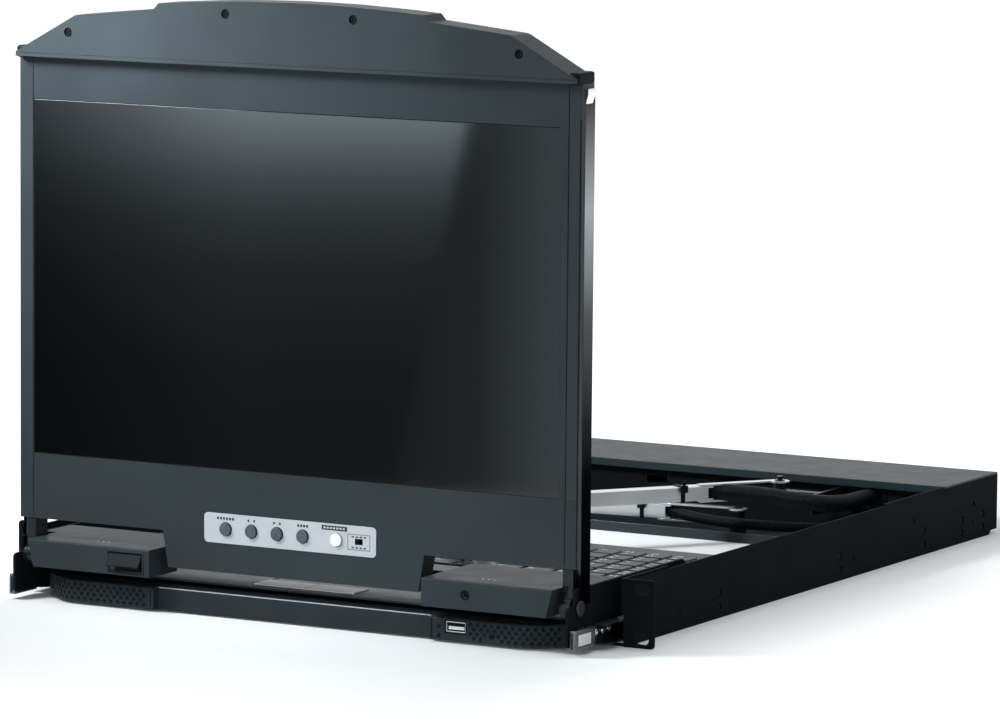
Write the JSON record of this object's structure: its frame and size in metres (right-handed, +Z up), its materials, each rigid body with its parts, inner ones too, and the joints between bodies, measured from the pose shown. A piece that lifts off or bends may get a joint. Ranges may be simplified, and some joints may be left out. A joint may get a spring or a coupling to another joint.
{
  "type": "rackmount console drawer",
  "caption": "Rack drawer with a fold-up flat display on a sliding carriage, a pull-out keyboard with touchpad under it, slotted rack ears and folding cable arms.",
  "frame": {"origin": "centre of the four rack-ear slots, on the front face of the ears", "axes": "+X to the right as the user faces it, +Y into the rack, +Z up"},
  "size_m": [0.4826, 0.632, 0.4036],
  "materials": {
    "chassis_paint": "satin powder coat",
    "zinc_steel": "zinc plated",
    "black_plastic": "fine texture",
    "lcd_metal": "satin paint",
    "key_plastic": "matte",
    "button_plastic": "satin",
    "bright_plastic": "satin",
    "label_film": "matte film",
    "screen": "coated",
    "module": "plain",
    "sleeve": "braid",
    "board": "solder mask",
    "psu": "plain"
  },
  "bodies": {
    "chassis": {"side_wall_left": "chassis_paint", "side_wall_right": "chassis_paint", "rack_ear_left": "chassis_paint", "rack_ear_right": "chassis_paint", "rear_pan": "chassis_paint", "rear_cover": "chassis_paint", "bulkhead": "chassis_paint", "lcd_outer_rails": "zinc_steel", "keyboard_outer_rails": "zinc_steel", "rail_screws": "zinc_steel", "arm_brackets": "zinc_steel", "cable_tails": "sleeve", "power_inlet": "black_plastic", "signal_ports": "psu", "power_supply": "psu", "controller_board": "board"},
    "power_rocker": {"power_rocker": "black_plastic"},
    "lcd_carriage": {"side_plate_left": "chassis_paint", "side_plate_right": "chassis_paint", "hinge_pod_left": "chassis_paint", "hinge_pod_right": "chassis_paint", "carriage_beam": "chassis_paint", "lcd_runners": "zinc_steel", "rail_end_blocks": "zinc_steel", "hinge_pins": "zinc_steel"},
    "release_tab_left": {"release_tab_left": "bright_plastic"},
    "release_tab_right": {"release_tab_right": "bright_plastic"},
    "pod_flap": {"pod_flap": "black_plastic"},
    "lcd_panel": {"lcd_bezel": "black_plastic", "lcd_back_shell": "lcd_metal", "upper_handle": "black_plastic", "button_label": "label_film", "screen_glass": "screen", "display_module": "module", "hinge_brackets": "chassis_paint", "side_catches": "zinc_steel"},
    "menu_button": {"menu_button": "button_plastic"},
    "minus_button": {"minus_button": "button_plastic"},
    "plus_button": {"plus_button": "button_plastic"},
    "select_button": {"select_button": "button_plastic"},
    "power_button": {"power_button": "button_plastic"},
    "recovery_switch": {"recovery_switch": "button_plastic"},
    "keyboard": {"keyboard_tray": "chassis_paint", "keyboard_bezel": "black_plastic", "keyboard_deck": "chassis_paint", "touchpad": "key_plastic", "usb_socket": "zinc_steel", "keyboard_runners": "zinc_steel"},
    "keyboard_middle": {"keyboard_middle_rails": "zinc_steel"},
    "touchpad_button_left": {"touchpad_button_left": "bright_plastic"},
    "touchpad_button_right": {"touchpad_button_right": "bright_plastic"},
    "function_keys": {"function_keys": "key_plastic"},
    "number_keys": {"number_keys": "key_plastic"},
    "letter_keys": {"letter_keys": "key_plastic"},
    "space_bar": {"space_bar": "key_plastic"},
    "number_pad_keys": {"number_pad_keys": "key_plastic"},
    "lcd_arm_rear": {"lcd_arm_rear_link": "zinc_steel"},
    "lcd_arm_front": {"lcd_arm_front_link": "zinc_steel"},
    "keyboard_arm_rear": {"keyboard_arm_rear_link": "zinc_steel"},
    "keyboard_arm_front": {"keyboard_arm_front_link": "zinc_steel"}
  },
  "joints": [
    {"name": "lcd_carriage_slide", "type": "slide", "parent": "chassis", "child": "lcd_carriage", "axis": [0, 1, 0], "range_m": [0, 0.34]},
    {"name": "lcd_tilt", "type": "hinge", "parent": "lcd_carriage", "child": "lcd_panel", "pos_m": [0, -0.04, 0.0073], "axis": [1, 0, 0], "range_deg": [-15, 90]},
    {"name": "keyboard_slide", "type": "slide", "parent": "chassis", "child": "keyboard", "axis": [0, -1, 0], "range_m": [0, 0.33]},
    {"name": "keyboard_middle_slide", "type": "slide", "parent": "chassis", "child": "keyboard_middle", "axis": [0, -1, 0], "range_m": [0, 0.166]},
    {"name": "power_rocker_tilt", "type": "hinge", "parent": "chassis", "child": "power_rocker", "pos_m": [-0.135, 0.569, -0.0015], "axis": [1, 0, 0], "range_deg": [-8, 8]},
    {"name": "release_tab_left_press", "type": "slide", "parent": "lcd_carriage", "child": "release_tab_left", "axis": [1, 0, 0], "range_m": [0, 0.0015], "stiffness_N_per_m": 400},
    {"name": "release_tab_right_press", "type": "slide", "parent": "lcd_carriage", "child": "release_tab_right", "axis": [-1, 0, 0], "range_m": [0, 0.0015], "stiffness_N_per_m": 400},
    {"name": "pod_flap_swing", "type": "hinge", "parent": "lcd_carriage", "child": "pod_flap", "pos_m": [-0.121, -0.0535, 0.016], "axis": [1, 0, 0], "range_deg": [0, 30], "stiffness_Nm_per_rad": 0.02},
    {"name": "menu_button_press", "type": "slide", "parent": "lcd_panel", "child": "menu_button", "axis": [0, 1, 0], "range_m": [0, 0.0008], "stiffness_N_per_m": 600},
    {"name": "minus_button_press", "type": "slide", "parent": "lcd_panel", "child": "minus_button", "axis": [0, 1, 0], "range_m": [0, 0.0008], "stiffness_N_per_m": 600},
    {"name": "plus_button_press", "type": "slide", "parent": "lcd_panel", "child": "plus_button", "axis": [0, 1, 0], "range_m": [0, 0.0008], "stiffness_N_per_m": 600},
    {"name": "select_button_press", "type": "slide", "parent": "lcd_panel", "child": "select_button", "axis": [0, 1, 0], "range_m": [0, 0.0008], "stiffness_N_per_m": 600},
    {"name": "power_button_press", "type": "slide", "parent": "lcd_panel", "child": "power_button", "axis": [0, 1, 0], "range_m": [0, 0.0008], "stiffness_N_per_m": 600},
    {"name": "recovery_switch_slide", "type": "slide", "parent": "lcd_panel", "child": "recovery_switch", "axis": [1, 0, 0], "range_m": [0, 0.002]},
    {"name": "touchpad_button_left_press", "type": "slide", "parent": "keyboard", "child": "touchpad_button_left", "axis": [0, 0, -1], "range_m": [0, 0.0006], "stiffness_N_per_m": 900},
    {"name": "touchpad_button_right_press", "type": "slide", "parent": "keyboard", "child": "touchpad_button_right", "axis": [0, 0, -1], "range_m": [0, 0.0006], "stiffness_N_per_m": 900},
    {"name": "function_keys_press", "type": "slide", "parent": "keyboard", "child": "function_keys", "axis": [0, 0, -1], "range_m": [0, 0.0015], "stiffness_N_per_m": 1200},
    {"name": "number_keys_press", "type": "slide", "parent": "keyboard", "child": "number_keys", "axis": [0, 0, -1], "range_m": [0, 0.0015], "stiffness_N_per_m": 1200},
    {"name": "letter_keys_press", "type": "slide", "parent": "keyboard", "child": "letter_keys", "axis": [0, 0, -1], "range_m": [0, 0.0015], "stiffness_N_per_m": 1200},
    {"name": "space_bar_press", "type": "slide", "parent": "keyboard", "child": "space_bar", "axis": [0, 0, -1], "range_m": [0, 0.0015], "stiffness_N_per_m": 1200},
    {"name": "number_pad_keys_press", "type": "slide", "parent": "keyboard", "child": "number_pad_keys", "axis": [0, 0, -1], "range_m": [0, 0.0015], "stiffness_N_per_m": 1200},
    {"name": "lcd_arm_rear_swing", "type": "hinge", "parent": "chassis", "child": "lcd_arm_rear", "pos_m": [0.108, 0.446, 0.0155], "axis": [0, 0, 1], "range_deg": [-46.4, 0.3]},
    {"name": "lcd_arm_front_swing", "type": "hinge", "parent": "lcd_arm_rear", "child": "lcd_arm_front", "pos_m": [-0.04199, 0.2435, 0.0155], "axis": [0, 0, 1], "range_deg": [-0.3, 92.5]},
    {"name": "keyboard_arm_rear_swing", "type": "hinge", "parent": "chassis", "child": "keyboard_arm_rear", "pos_m": [0.072, 0.452, -0.008], "axis": [0, 0, 1], "range_deg": [-0.3, 66.2]},
    {"name": "keyboard_arm_front_swing", "type": "hinge", "parent": "keyboard_arm_rear", "child": "keyboard_arm_front", "pos_m": [-0.18161, 0.4254, -0.008], "axis": [0, 0, 1], "range_deg": [-119.2, 0.3]}
  ],
  "couplings": [
    {"joint": "keyboard_middle_slide", "follows": "keyboard_slide", "ratio": 0.5},
    {"joint": "lcd_arm_rear_swing", "follows": "lcd_carriage_slide", "rad_per_m": -2.3645},
    {"joint": "lcd_arm_front_swing", "follows": "lcd_carriage_slide", "rad_per_m": 4.7291},
    {"joint": "keyboard_arm_rear_swing", "follows": "keyboard_slide", "rad_per_m": 3.4836},
    {"joint": "keyboard_arm_front_swing", "follows": "keyboard_slide", "rad_per_m": -6.2886}
  ]
}
